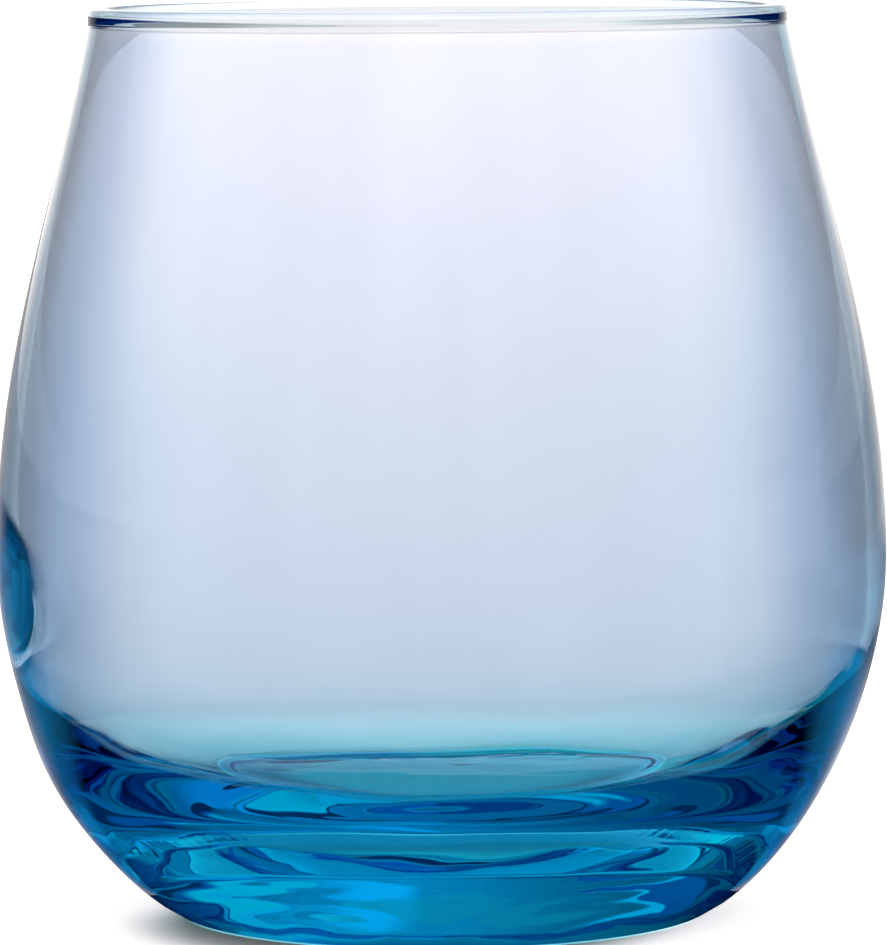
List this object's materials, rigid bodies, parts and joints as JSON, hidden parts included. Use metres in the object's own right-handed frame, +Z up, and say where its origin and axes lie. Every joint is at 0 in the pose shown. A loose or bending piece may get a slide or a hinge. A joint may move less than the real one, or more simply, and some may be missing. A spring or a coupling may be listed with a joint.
{
  "type": "stemless drinking glass",
  "caption": "Stemless round drinking glass in clear blue glass, with a heavy solid base, a full belly and a wall that leans in to a fire-polished lip.",
  "frame": {"origin": "on the table plane, under the middle of the foot ring", "axes": "+Z up along the axis the glass is turned about; X and Y are level and alike"},
  "size_m": [0.09, 0.09, 0.0919],
  "materials": {
    "blue_glass": "fire-polished and clear, nearly colourless where the wall is thin and deep blue in the thick base, with faint striae"
  },
  "bodies": {
    "root": {"rim_bead": "blue_glass", "bowl_wall": "blue_glass", "bowl_heel": "blue_glass", "base_sham": "blue_glass", "foot_ring": "blue_glass"}
  },
  "joints": []
}
